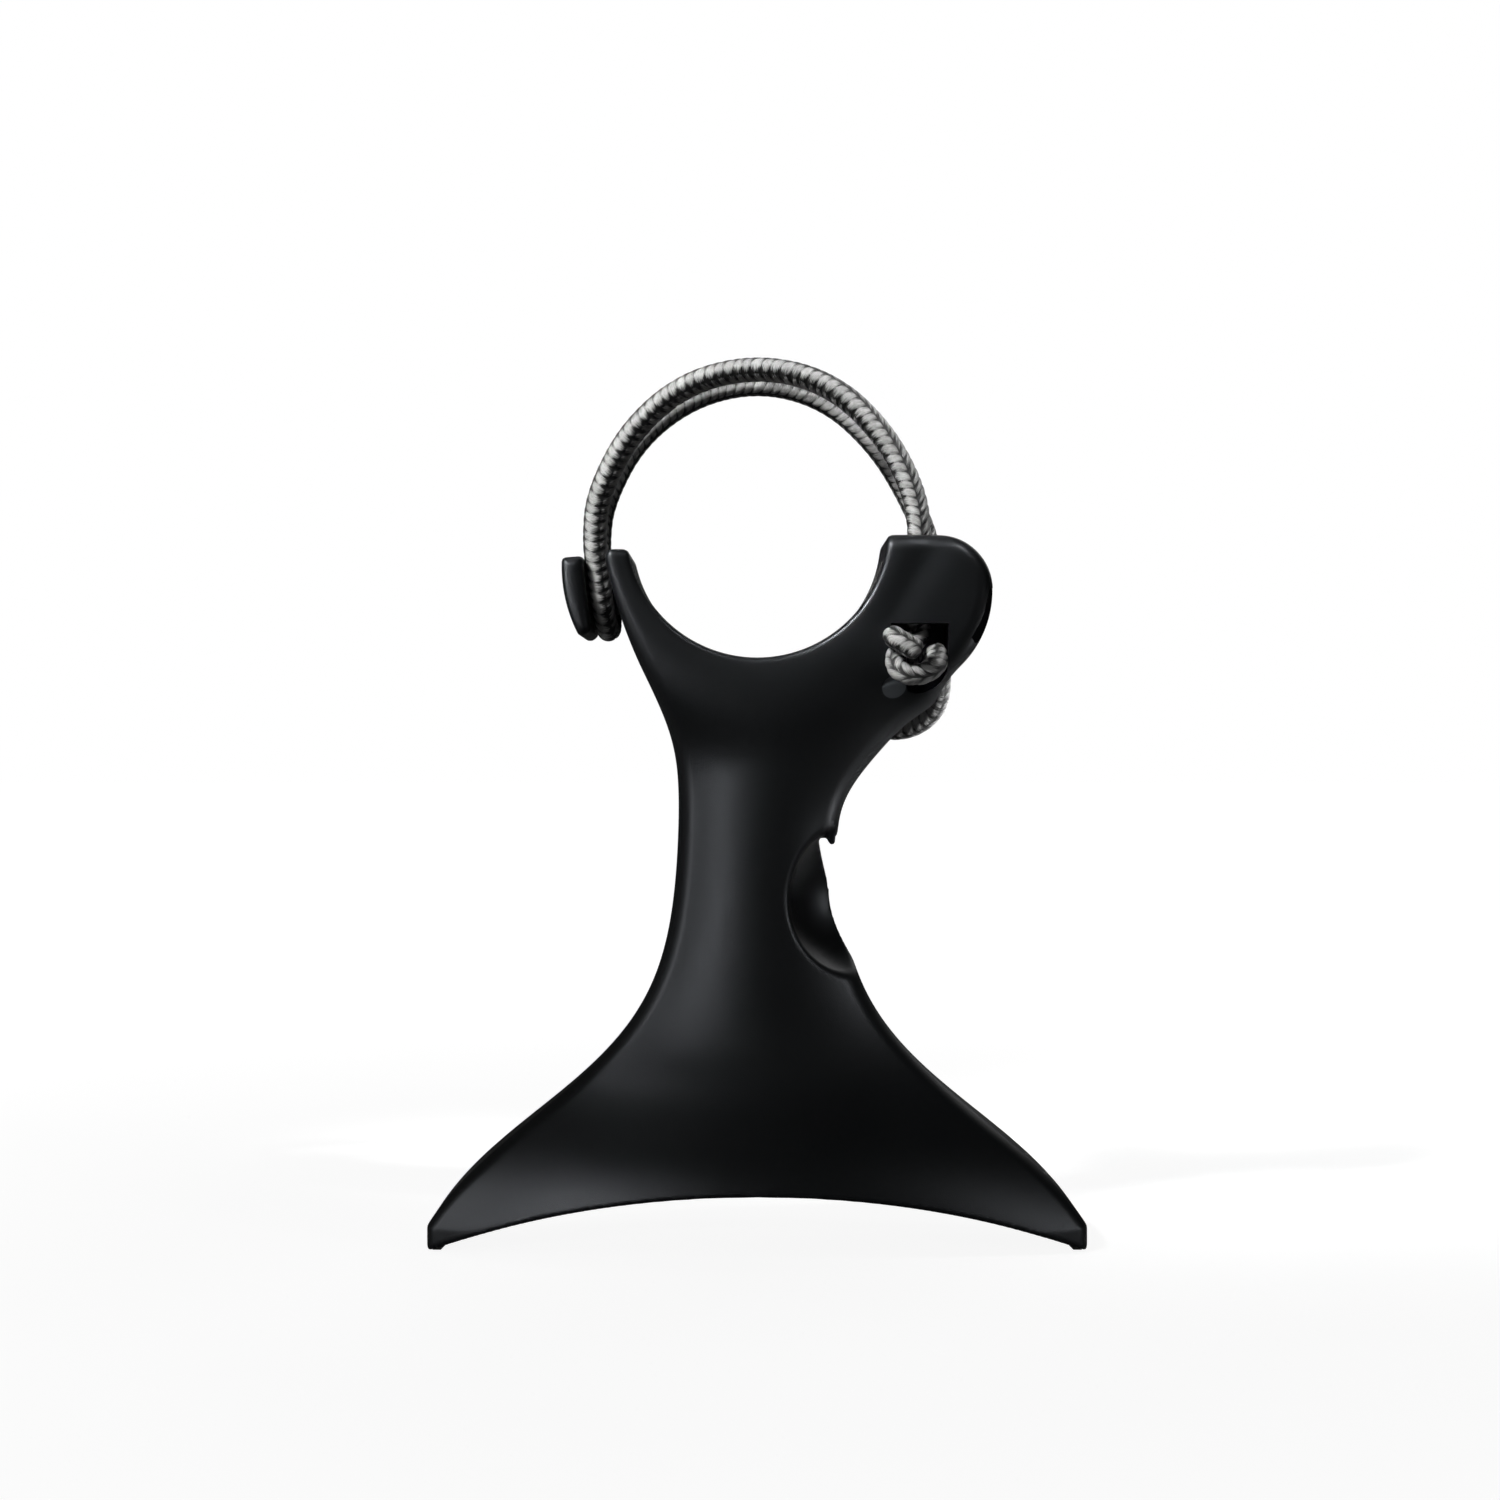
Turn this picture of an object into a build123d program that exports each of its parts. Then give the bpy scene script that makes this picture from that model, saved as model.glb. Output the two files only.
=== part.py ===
"""A cradle stand: a flared, arched base, a slim neck and a U-shaped cradle closed by an elastic loop.

X runs across the cradle, Y through it and Z up. The origin is on the ground, midway between the two feet.
"""
from build123d import *
from math import cos, exp, log, pi, radians, sin, sqrt, tan
import os

os.makedirs("parts", exist_ok=True)

# ---- driving dimensions, mm ----

# cradle
cradle_radius = 26.2
cradle_height = 146.4      # of the cradle's axis above the ground
cradle_depth = 27.0
liner_thickness = 1.0
liner_margin = 1.6         # bare lip left in front of and behind the liner
liner_drop = 6.4           # heights given as a drop are below the cradle's axis
liner_clearance = 0.05
arm_drop = 4.4
arm_width = 4.8            # of the left arm at its top
arm_bow = 3.2              # how far the arm's outer side swells half way down
arm_rounding = 1.6

# neck and shoulders
neck_half_width = 15.7
neck_half_depth = 9.8
neck_end_depth = 4.6       # half depth of the flat on each side of the neck
shoulder_drop = 42.4       # where the neck has grown half way to the cradle's depth
shoulder_softness = 3.5
left_shoulder_drop = 43.5
left_shoulder_slope = 0.5
left_shoulder_softness = 4.5
right_shoulder_drop = 54.9
right_shoulder_slope = 0.94
right_shoulder_softness = 3.5
loft_drop = 28.4           # the arms are separate from here up
fork_overlap = 1.0         # of the arms with the neck below them
body_corner = 3.0          # rounding of the moulding's long outer edges

# base
base_half_width = 67.0
base_half_depth = 24.5
base_end_depth = 9.5       # half depth of the blunt end of each wing
flare_overshoot = 9.0      # of the flare's curve past the wings' ends, which cut it off
flare_height = 26.5
flare_softness = 12.3
skirt_height = 28.0        # where the base has swelled half way to its full depth
skirt_softness = 5.0
arch_rise = 14.0
landing = 0.3              # the moulding's own corners stay this far off the ground
loft_start = -2.0          # below the ground, so that the arch cuts it clean

# hollow of the base
wall = 3.0
end_wall = 11.0            # at the two wing ends
hollow_top = 45.0
core_radius = 4.5
core_x = -5.0
core_top = 98.0
core_overlap = 10.0        # of the core with the hollow below it

# boss on the right, which anchors the cord
boss_drop = 1.4
boss_reach = 47.6
boss_lobe_drop = 11.9      # where the boss reaches furthest out
boss_shoulder = 11.0       # from there back to the end of its flat top
boss_round = 3.0           # bulge of its upper corner
boss_belly = 1.5           # bulge of its underside
boss_chin_x = 1.6          # where the underside meets the neck, out from the neck
boss_chin_z = 1.7          # and up from the end of the loft
pocket_left = 26.8
pocket_right = 38.3
pocket_drop = 19.4
pocket_height = 14.4
pocket_back = -3.4         # the knot's pocket is open to the front
dimple_radius = 2.5
dimple_x = 27.6
dimple_drop = 32.2
dimple_depth = 1.6
window_drop = 10.8
window_height = 12.2
window_half_depth = 4.6
window_cut = 3.2           # depth of the window at the lobe

# thumb scoop and its tooth
scoop_x = 22.0
scoop_y = -9.0
scoop_z = 71.3
scoop_radius = 15.5        # level
scoop_half_height = 16.2
notch_low_x = 19.5         # the notch cuts the neck's right side back, from here
notch_low_z = 61.0
notch_high_x = 12.6        # to here, just under the tooth
notch_high_z = 83.5
notch_bow = 0.7            # of the line between them
tooth_root = 86.4
tooth_tip = 82.2
tooth_x = 15.9
tooth_half_depth = 4.6
tooth_overlap = 0.3        # of the tooth's root past the neck's side
tooth_point = 0.9          # width of its blunt tip
tooth_lean = 2.2           # of its inner face, from root to tip
tooth_gum = 1.5            # height of the root's inner corner below the outer one
tooth_sink = 3.2           # how far the root reaches into the neck

# stopper knot
knot_x = 32.55
knot_y = -8.6
knot_z = 119.0
knot_radius = 3.2
knot_thickness = 4.4

# elastic cord and what it hooks on
cord_diameter = 5.0
cord_clearance = 0.3
strand_y = 7.3             # the two strands run this far in front of and behind the middle
hook_x = -31.6
hook_drop = 12.6
hook_tilt = 6.0            # the strands lean this far from the vertical, in degrees
flange_tilt = 11.0
flange_thickness = 2.9
flange_height = 16.4
flange_depth = 25.0
flange_offset = 5.2        # from the post's middle to the middle of the flange
flange_corner = 3.0
flange_rounding = 1.0
screw_bite = 4.0           # of the post's screw, past the strands' middle
screw_tip_gap = 0.5        # left beyond the screw's tip in its bore

# base plate, ballast and fasteners
plate_thickness = 2.5
plate_clearance = 0.15
plate_screw_x = 33.0
plate_screw_y = 10.0
post_radius = 4.0
screw_shank_radius = 1.45
screw_head_radius = 2.8
screw_head_height = 1.4
screw_head_sink = 1.6
screw_hole_depth = 11.0
screw_shank_length = 9.0
screw_clearance = 0.05
ballast_length = 44.0
ballast_depth = 22.0
ballast_top = 24.5
ballast_corner = 3.0
ballast_screw_x = 13.0
hook_screw_radius = 1.5
hook_screw_head_radius = 2.9
hook_screw_web = 0.4         # left between the screw's head and the channel

# feet
foot_margin = 1.0          # from the foot to the end of the wing
foot_width = 2.6
foot_half_length = 7.0
foot_height = 2.4
foot_chamfer = 0.9
foot_clearance = 0.05

# ---- values that follow from them ----

liner_top = cradle_height - liner_drop
arm_top = cradle_height - arm_drop
shoulder_height = cradle_height - shoulder_drop
left_shoulder_height = cradle_height - left_shoulder_drop
right_shoulder_height = cradle_height - right_shoulder_drop
loft_top = cradle_height - loft_drop
boss_top = cradle_height - boss_drop
boss_lobe_height = cradle_height - boss_lobe_drop
pocket_top = cradle_height - pocket_drop
pocket_bottom = pocket_top - pocket_height
dimple_z = cradle_height - dimple_drop
window_top = cradle_height - window_drop
window_bottom = window_top - window_height
hook_z = cradle_height - hook_drop
foot_outer = base_half_width - foot_margin
foot_inner = foot_outer - foot_width
cord_radius = cord_diameter / 2
post_clear_radius = strand_y - cord_radius - cord_clearance
bore_radius = cord_radius + cord_clearance
half_depth = cradle_depth / 2
arch_radius = (base_half_width**2 + arch_rise**2) / (2 * arch_rise)
arch_centre = arch_rise - arch_radius
plate_radius = arch_radius + plate_thickness
through = 2 * base_half_depth + 2 * base_half_width
standing = (Align.CENTER, Align.CENTER, Align.MIN)
hanging = (Align.CENTER, Align.CENTER, Align.MAX)


# ---- the moulding's outline and depth, as smooth curves of height ----

def step(z, middle, softness):
    """A smooth step that falls from 1, well below the middle, to 0, well above it."""
    return 1 / (1 + exp((z - middle) / softness))


def ramp(z, start, slope, softness):
    """Nothing below the start and a straight slope above it, with a soft bend between."""
    return slope * softness * log(1 + exp((z - start) / softness))


def flare(z):
    spread = base_half_width - neck_half_width
    return min((spread + flare_overshoot) * step(z, flare_height, flare_softness), spread)


def left_side(z):
    shoulder = ramp(z, left_shoulder_height, left_shoulder_slope, left_shoulder_softness)
    return neck_half_width + flare(z) + shoulder


def right_side(z):
    shoulder = ramp(z, right_shoulder_height, right_shoulder_slope, right_shoulder_softness)
    return neck_half_width + flare(z) + shoulder


def front_depth(z):
    skirt = (base_half_depth - neck_half_depth) * step(z, skirt_height, skirt_softness)
    shoulder = (half_depth - neck_half_depth) * (1 - step(z, shoulder_height, shoulder_softness))
    return neck_half_depth + skirt + shoulder


def end_depth(z):
    skirt = (base_end_depth - neck_end_depth) * step(z, skirt_height, skirt_softness)
    growth = half_depth - body_corner - neck_end_depth
    shoulder = growth * (1 - step(z, shoulder_height, shoulder_softness))
    return neck_end_depth + skirt + shoulder


def plan(left, right, front, end, corner):
    """One level of the moulding from above: crowned front and back, blunt ends, round corners."""
    with BuildSketch() as outline:
        with BuildLine():
            middle = (right - left) / 2
            near = ThreePointArc((-left, -end), (middle, -front), (right, -end))
            far = ThreePointArc((-left, end), (middle, front), (right, end))
            Line(near @ 0, far @ 0)
            Line(near @ 1, far @ 1)
        make_face()
        fillet(outline.vertices(), corner)
    return outline.sketch


def bell(levels, side_inset, face_inset):
    """The moulding below its arms, or a hollow in it: a smooth solid through several plans."""
    with BuildPart() as solid:
        for z in levels:
            with BuildSketch(Plane.XY.offset(z)):
                left = left_side(z) - side_inset
                right = right_side(z) - side_inset
                front = front_depth(z) - face_inset
                end = end_depth(z) - face_inset
                add(plan(left, right, front, end, body_corner))
        loft()
    return solid.part


def cylinder_along_y(radius, x, z, near, far):
    """A cylinder whose axis runs along Y, from near to far."""
    return Pos(x, (near + far) / 2, z) * Rot(90, 0, 0) * Cylinder(radius, far - near, mode=Mode.PRIVATE)


def block(low, high):
    """A box between two corners."""
    size = [high[i] - low[i] for i in range(3)]
    centre = [(high[i] + low[i]) / 2 for i in range(3)]
    return Pos(*centre) * Box(*size, mode=Mode.PRIVATE)


def arch_height(x):
    """Height of the arched underside above the ground."""
    return arch_centre + sqrt(arch_radius**2 - x**2)


# ---- route of the elastic cord, from the front knot round the post to the back of the boss ----

front_strand = [
    (32.7, -7.6, 124.0),
    (32.9, -7.4, 134.0),
    (33.2, -strand_y, 143.5),
    (33.3, -strand_y, 153.8),
    (26.9, -strand_y, 167.1),
    (15.4, -strand_y, 176.2),
    (1.0, -strand_y, 179.5),
    (-13.4, -strand_y, 176.2),
    (-25.4, -strand_y, 167.1),
    (-32.3, -strand_y, 153.8),
    (-32.7, -strand_y, 144.8),
    (-32.0, -strand_y, 137.8),
]
bight = [
    (-32.0, -strand_y, 137.8),
    (-31.3, -strand_y, 130.8),
    (-30.8, -3.0, 126.5),
    (-30.8, 3.0, 126.5),
    (-31.3, strand_y, 130.8),
    (-32.0, strand_y, 137.8),
]
back_strand = [
    (-32.0, strand_y, 137.8),
    (-32.7, strand_y, 144.8),
    (-32.3, strand_y, 153.8),
    (-25.4, strand_y, 167.1),
    (-13.4, strand_y, 176.2),
    (1.0, strand_y, 179.5),
    (15.6, strand_y, 176.2),
    (27.3, strand_y, 167.3),
    (34.1, strand_y, 155.4),
    (36.4, 7.4, 144.5),
    (37.4, 8.0, 131.0),
    (38.3, 8.75, 120.5),
]
tail = [
    (38.3, 8.75, 120.5),
    (38.6, 9.0, 117.0),
    (38.2, 10.8, 111.0),
    (33.8, 12.8, 106.7),
    (27.6, 14.8, 105.9),
    (22.8, 16.8, 109.2),
    (22.8, 16.6, 115.4),
    (23.2, 11.4, 120.6),
]
bend_share = 0.45          # of the shorter run beside a corner, taken up by the corner's arc
hook_share = 0.48          # the same where the loop lies round its post


def corner_radii(points, share):
    """The arc of each corner, as large as the two runs beside it allow."""
    radii = []
    for before, at, after in zip(points, points[1:], points[2:]):
        run_in = Vector(*at) - Vector(*before)
        run_out = Vector(*after) - Vector(*at)
        half_turn = radians(run_in.get_angle(run_out)) / 2
        radii.append(share * min(run_in.length, run_out.length) / tan(half_turn))
    return radii


def cord_tube(points, radius, share=bend_share):
    """A round tube along straight runs joined by tangent arcs."""
    with BuildPart() as tube:
        with BuildLine() as path:
            FilletPolyline(*points, radius=corner_radii(points, share))
        start = path.line @ 0
        with BuildSketch(Plane(origin=start, z_dir=path.line % 0)):
            Circle(radius)
        sweep()
    return tube.part, sum(edge.length for edge in path.edges())


# ---- stand_body: one moulding with base, neck, cradle, boss, thumb scoop and tooth ----

base_levels = [loft_start, 2.5, 8.0, 14.0, 20.0, 26.0, 32.0, 38.0, hollow_top]
neck_steps = 9
neck_levels = [hollow_top + (loft_top - hollow_top) * i / neck_steps for i in range(1, neck_steps + 1)]
hollow_levels = (loft_start, 8.0, 16.0, 24.0, 32.0, 38.0, hollow_top)
arm_outer = sqrt(cradle_radius**2 - (cradle_height - arm_top) ** 2) + arm_width
fork_foot = loft_top - fork_overlap

with BuildPart() as fork:
    with BuildSketch(Plane.XZ):
        with BuildLine():
            left_foot = (-left_side(fork_foot), fork_foot)
            right_foot = (right_side(fork_foot), fork_foot)
            lobe_top = (boss_reach - boss_shoulder, boss_top)
            lobe_side = (boss_reach, boss_lobe_height)
            lobe_under = (right_side(loft_top) + boss_chin_x, loft_top + boss_chin_z)
            Line(right_foot, left_foot)
            arm_middle = (arm_bow - arm_outer, (fork_foot + arm_top) / 2)
            ThreePointArc(left_foot, arm_middle, (-arm_outer, arm_top))
            Polyline((-arm_outer, arm_top), (0, arm_top), (0, boss_top), lobe_top)
            SagittaArc(lobe_top, lobe_side, boss_round)
            SagittaArc(lobe_side, lobe_under, boss_belly)
            Line(lobe_under, right_foot)
        make_face()
    extrude(amount=half_depth, both=True)
    face_edges = fork.edges().group_by(Axis.Y)[0] + fork.edges().group_by(Axis.Y)[-1]
    long_edges = [e for e in face_edges if e.center().Z > loft_top]
    fillet([e for e in long_edges if e.center().X > 0 or e.center().Z < arm_top - arm_rounding], body_corner)

# the post's own frame: its Z points along the post, outwards from the arm
hook_frame = Plane(
    origin=(hook_x, 0, hook_z),
    x_dir=(0, 1, 0),
    z_dir=(-cos(radians(hook_tilt)), 0, -sin(radians(hook_tilt))),
)
channel_floor = cord_radius + cord_clearance
channel_half_width = strand_y + cord_radius + 2 * cord_clearance
screw_neck = channel_floor + hook_screw_web
screw_crown = screw_neck + hook_screw_head_radius - hook_screw_radius
screw_places = []
for x in (-plate_screw_x, plate_screw_x):
    for y in (-plate_screw_y, plate_screw_y):
        screw_places.append((x, y, arch_height(x)))
ballast_screw_places = [(x, 0, arch_height(x)) for x in (-ballast_screw_x, ballast_screw_x)]


def along_hook(radius, near, far):
    """A cylinder on the post's axis, near and far being measured inwards from the strands' middle."""
    rod = Cylinder(radius, far - near, mode=Mode.PRIVATE)
    return hook_frame.location * Pos(0, 0, -(near + far) / 2) * rod


def countersunk(radius, head_radius, tip, crown):
    """A countersunk screw, or its hole, on the post's axis: shank from tip, head up to crown."""
    height = head_radius - radius
    head = Cone(head_radius, radius, height, mode=Mode.PRIVATE)
    return along_hook(radius, tip, crown) + hook_frame.location * Pos(0, 0, height / 2 - crown) * head


def foot_seat(side):
    """The slot of one foot, open below."""
    inner, outer = sorted((side * (foot_inner - foot_clearance), side * (foot_outer + foot_clearance)))
    half_length = foot_half_length + foot_clearance
    return block((inner, -half_length, loft_start), (outer, half_length, foot_height))


trunk = bell(base_levels + neck_levels, 0, 0)
hollow = bell(hollow_levels, end_wall, wall)
underside = cylinder_along_y(arch_radius, 0, arch_centre, -through, through)
plate_back = cylinder_along_y(plate_radius, 0, arch_centre, -through, through)
cradle_bore = cylinder_along_y(cradle_radius, 0, cradle_height, -through, through)
core_length = core_top - hollow_top + core_overlap
core = Pos(core_x, 0, core_top - core_length / 2) * Cylinder(core_radius, core_length)
channel_size = cradle_radius   # up and down the arm, and outwards
channel_box = Box(2 * channel_half_width, 2 * channel_size, channel_size)
channel = hook_frame.location * Pos(0, 0, channel_size / 2 - channel_floor) * channel_box
scoop = Pos(scoop_x, scoop_y, scoop_z) * scale(Sphere(1), by=(scoop_radius, scoop_radius, scoop_half_height))
notch_low = (notch_low_x, notch_low_z)
notch_high = (notch_high_x, notch_high_z)
window = block(
    (boss_reach - window_cut, -window_half_depth, window_bottom),
    (boss_reach + window_cut, window_half_depth, window_top),
)
front_bore = cord_tube(front_strand[:4], bore_radius)[0]
back_bore = cord_tube(back_strand[-4:-1] + tail[1:3], bore_radius)[0]
tail_bore = cord_tube(tail[-3:], bore_radius)[0]
screw_hole = countersunk(
    hook_screw_radius + screw_clearance, hook_screw_head_radius + screw_clearance, 0, screw_crown
)
with BuildPart() as flange_blank:
    Box(flange_height, flange_depth, flange_thickness)
    fillet(flange_blank.edges().filter_by(Axis.Z), flange_corner)
    fillet(flange_blank.edges().group_by(Axis.Z)[-1], flange_rounding)
flange = (
    hook_frame.location
    * Pos(0, 0, flange_offset)
    * Rot(hook_tilt - flange_tilt, 0, 0)
    * Rot(0, 0, 90)
    * flange_blank.part
)
tooth_profile = [
    (neck_half_width - tooth_sink, tooth_root),
    (neck_half_width + tooth_overlap, tooth_root),
    (tooth_x, tooth_tip),
    (tooth_x - tooth_point, tooth_tip),
    (tooth_x - tooth_lean, tooth_root - tooth_gum),
]

with BuildPart() as posts:
    with Locations(*screw_places):
        Cylinder(post_radius, 2 * hollow_top)
    add(plate_back, mode=Mode.SUBTRACT)

with BuildPart() as cavity:
    add(hollow)
    add(core)
    add(posts.part, mode=Mode.SUBTRACT)

with BuildPart() as liner_seat:
    add(cylinder_along_y(cradle_radius + liner_thickness, 0, cradle_height, -half_depth, half_depth))
    lip = half_depth - liner_margin
    add(block((-through, -lip, 0), (through, lip, liner_top)), mode=Mode.INTERSECT)

with BuildPart() as stand_body:
    add(trunk)
    add(fork.part)
    add(cradle_bore, mode=Mode.SUBTRACT)
    tips = [e for e in stand_body.edges() if e.center().Z > arm_top - arm_rounding / 2]
    fillet([e for e in tips if e.center().X < 0], arm_rounding)
    inner_top = stand_body.edges().filter_by(Axis.Y).group_by(Axis.Z)[-1].sort_by(Axis.X)[0]
    fillet(inner_top, arm_rounding)
    add(liner_seat.part, mode=Mode.SUBTRACT)
    # the arched underside, with a narrow flat at each end, and the hollow above it
    add(underside, mode=Mode.SUBTRACT)
    add(block((-through, -through, -through), (through, through, landing)), mode=Mode.SUBTRACT)
    add(cavity.part, mode=Mode.SUBTRACT)
    # the thumb scoop, the notch beside it, and the tooth left hanging over them
    add(scoop, mode=Mode.SUBTRACT)
    with BuildSketch(Plane.XZ):
        with BuildLine():
            Line(notch_high, (scoop_x, notch_high_z))
            Line((scoop_x, notch_high_z), (scoop_x, notch_low_z))
            Line((scoop_x, notch_low_z), notch_low)
            SagittaArc(notch_low, notch_high, -notch_bow)
        make_face()
    extrude(amount=half_depth, both=True, mode=Mode.SUBTRACT)
    with BuildSketch(Plane.XZ):
        with BuildLine():
            Polyline(*tooth_profile, close=True)
        make_face()
    extrude(amount=tooth_half_depth, both=True)
    # the channel that the two strands lie in, and the seat of the post's screw
    add(channel, mode=Mode.SUBTRACT)
    add(screw_hole, mode=Mode.SUBTRACT)
    head_bore = hook_screw_head_radius + screw_clearance
    add(along_hook(head_bore, screw_crown, 2 * screw_crown), mode=Mode.SUBTRACT)
    # the boss: bores for the two strands and the tail, the knot's pocket, a dimple and a side window
    add(front_bore, mode=Mode.SUBTRACT)
    add(back_bore, mode=Mode.SUBTRACT)
    add(tail_bore, mode=Mode.SUBTRACT)
    pocket = block((pocket_left, -through, pocket_bottom), (pocket_right, pocket_back, pocket_top))
    add(pocket, mode=Mode.SUBTRACT)
    dimple_floor = dimple_depth - half_depth
    add(cylinder_along_y(dimple_radius, dimple_x, dimple_z, -through, dimple_floor), mode=Mode.SUBTRACT)
    add(window, mode=Mode.SUBTRACT)
    # screw holes up into the posts, and the seats of the two feet
    with Locations(*[(x, y, z + plate_thickness) for x, y, z in screw_places]):
        Cylinder(screw_shank_radius + screw_clearance, 2 * screw_hole_depth, mode=Mode.SUBTRACT)
    for side in (-1, 1):
        add(foot_seat(side), mode=Mode.SUBTRACT)
stand_body.part.label = "stand_body"
export_step(stand_body.part, "parts/stand_body.step")

# ---- cradle_liner: a soft strip let into the cradle between two lips ----

with BuildPart() as cradle_liner:
    outer = cradle_radius + liner_thickness - liner_clearance
    add(cylinder_along_y(outer, 0, cradle_height, -lip + liner_clearance, lip - liner_clearance))
    add(cradle_bore, mode=Mode.SUBTRACT)
    liner_end = liner_top - liner_clearance
    add(block((-through, -through, 0), (through, through, liner_end)), mode=Mode.INTERSECT)
cradle_liner.part.label = "cradle_liner"
export_step(cradle_liner.part, "parts/cradle_liner.step")

# ---- hook_button: the post that the loop hooks on, with the flange that keeps it there ----

with BuildPart() as hook_button:
    add(along_hook(post_clear_radius, -flange_offset, channel_floor))
    add(flange)
    bore_start = -screw_bite - screw_tip_gap
    add(along_hook(hook_screw_radius + screw_clearance, bore_start, screw_neck), mode=Mode.SUBTRACT)
hook_button.part.label = "hook_button"
export_step(hook_button.part, "parts/hook_button.step")

with BuildPart() as hook_screw:
    add(countersunk(hook_screw_radius, hook_screw_head_radius, -screw_bite, screw_crown))
hook_screw.part.label = "hook_screw"
export_step(hook_screw.part, "parts/hook_screw.step")

# ---- base_plate: the arched cover of the hollow, with sunk screw holes ----

with BuildPart() as base_plate:
    add(bell(hollow_levels, end_wall + plate_clearance, wall + plate_clearance))
    add(plate_back, mode=Mode.INTERSECT)
    add(underside, mode=Mode.SUBTRACT)
    with Locations(*screw_places, *ballast_screw_places):
        Cylinder(screw_shank_radius + screw_clearance, 2 * hollow_top, mode=Mode.SUBTRACT)
        Cylinder(screw_head_radius + screw_clearance, 2 * screw_head_sink, mode=Mode.SUBTRACT)
base_plate.part.label = "base_plate"
export_step(base_plate.part, "parts/base_plate.step")

# ---- ballast: a cast block on the plate, which keeps a loaded stand upright ----

with BuildPart() as ballast:
    half_length = ballast_length / 2
    add(block((-half_length, -ballast_depth / 2, 0), (half_length, ballast_depth / 2, ballast_top)))
    fillet(ballast.edges().filter_by(Axis.Z), ballast_corner)
    add(plate_back, mode=Mode.SUBTRACT)
    with Locations(*[(x, y, z + plate_thickness) for x, y, z in ballast_screw_places]):
        Cylinder(screw_shank_radius + screw_clearance, 2 * screw_hole_depth, mode=Mode.SUBTRACT)
ballast.part.label = "ballast"
export_step(ballast.part, "parts/ballast.step")

# ---- plate_screws: four into the posts and two into the ballast, all alike ----

with BuildPart() as plate_screws:
    with Locations(*[(x, y, z + screw_head_sink) for x, y, z in screw_places + ballast_screw_places]):
        Cylinder(screw_head_radius, screw_head_height, align=hanging)
        Cylinder(screw_shank_radius, screw_shank_length, align=standing)
plate_screws.part.label = "plate_screws"
export_step(plate_screws.part, "parts/plate_screws.step")

# ---- foot_left and foot_right: rubber strips let into the ends of the arch ----

for side, name in ((-1, "foot_left"), (1, "foot_right")):
    inner, outer = sorted((side * foot_inner, side * foot_outer))
    with BuildPart() as foot:
        add(block((inner, -foot_half_length, 0), (outer, foot_half_length, foot_height)))
        toe = foot.edges().filter_by(Axis.Y).group_by(Axis.Z)[0].sort_by(Axis.X)
        chamfer(toe[0] if side > 0 else toe[-1], foot_chamfer)
    foot.part.label = name
    export_step(foot.part, f"parts/{name}.step")

# ---- the elastic cord and its stopper knot ----

for name, points, share in (
    ("cord_front", front_strand, bend_share),
    ("cord_bight", bight, hook_share),
    ("cord_back", back_strand, bend_share),
    ("cord_tail", tail, bend_share),
):
    tube, length = cord_tube(points, cord_radius, share)
    tube.label = name
    export_step(tube, f"parts/{name}.step")
    fullness = tube.volume / (pi * cord_radius**2 * length)
    print(name, "length", round(length, 1), "volume", round(fullness, 4))
    print(name, "radii", [round(radius, 1) for radius in corner_radii(points, share)])

with BuildPart() as front_knot:
    with Locations(Location((knot_x, knot_y, knot_z), (90, 0, 0))):
        Torus(knot_radius, knot_thickness / 2)
front_knot.part.label = "front_knot"
export_step(front_knot.part, "parts/front_knot.step")
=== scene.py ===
from math import cos, pi, radians, sin, sqrt

import bpy
import numpy as np
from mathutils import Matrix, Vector


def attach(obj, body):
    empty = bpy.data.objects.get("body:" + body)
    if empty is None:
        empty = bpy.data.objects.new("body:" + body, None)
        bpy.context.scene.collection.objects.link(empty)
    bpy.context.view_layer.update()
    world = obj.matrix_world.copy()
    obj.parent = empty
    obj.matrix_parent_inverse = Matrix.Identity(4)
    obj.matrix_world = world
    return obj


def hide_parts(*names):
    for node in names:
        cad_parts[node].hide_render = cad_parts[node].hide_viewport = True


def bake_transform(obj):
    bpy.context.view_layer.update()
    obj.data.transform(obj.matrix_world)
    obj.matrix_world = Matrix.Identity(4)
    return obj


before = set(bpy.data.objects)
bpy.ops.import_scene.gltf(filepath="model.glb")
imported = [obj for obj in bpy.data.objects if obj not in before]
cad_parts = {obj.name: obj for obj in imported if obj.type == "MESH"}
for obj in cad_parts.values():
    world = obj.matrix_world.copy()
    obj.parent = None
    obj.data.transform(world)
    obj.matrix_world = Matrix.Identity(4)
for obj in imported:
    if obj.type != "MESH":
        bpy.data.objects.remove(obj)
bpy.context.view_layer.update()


# ---- the camera, the floor and the light ----
# The stand is seen square on from the front, from a little under half a metre, at the height of its waist,
# on a pale floor in a white surround. One tall soft lamp lights it from the left, with weaker ones above and
# behind it, and small lamps with narrow beams lift single parts.

scene = bpy.context.scene
scene.view_settings.view_transform = "Standard"

camera_data = bpy.data.cameras.new("camera")
camera_data.lens = 50
camera_data.sensor_width = 36
camera = bpy.data.objects.new("camera", camera_data)
camera.location = (-0.00145, -0.4305, 0.1016)
camera.rotation_euler = (pi / 2, 0, 0)
scene.collection.objects.link(camera)
scene.camera = camera


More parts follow.
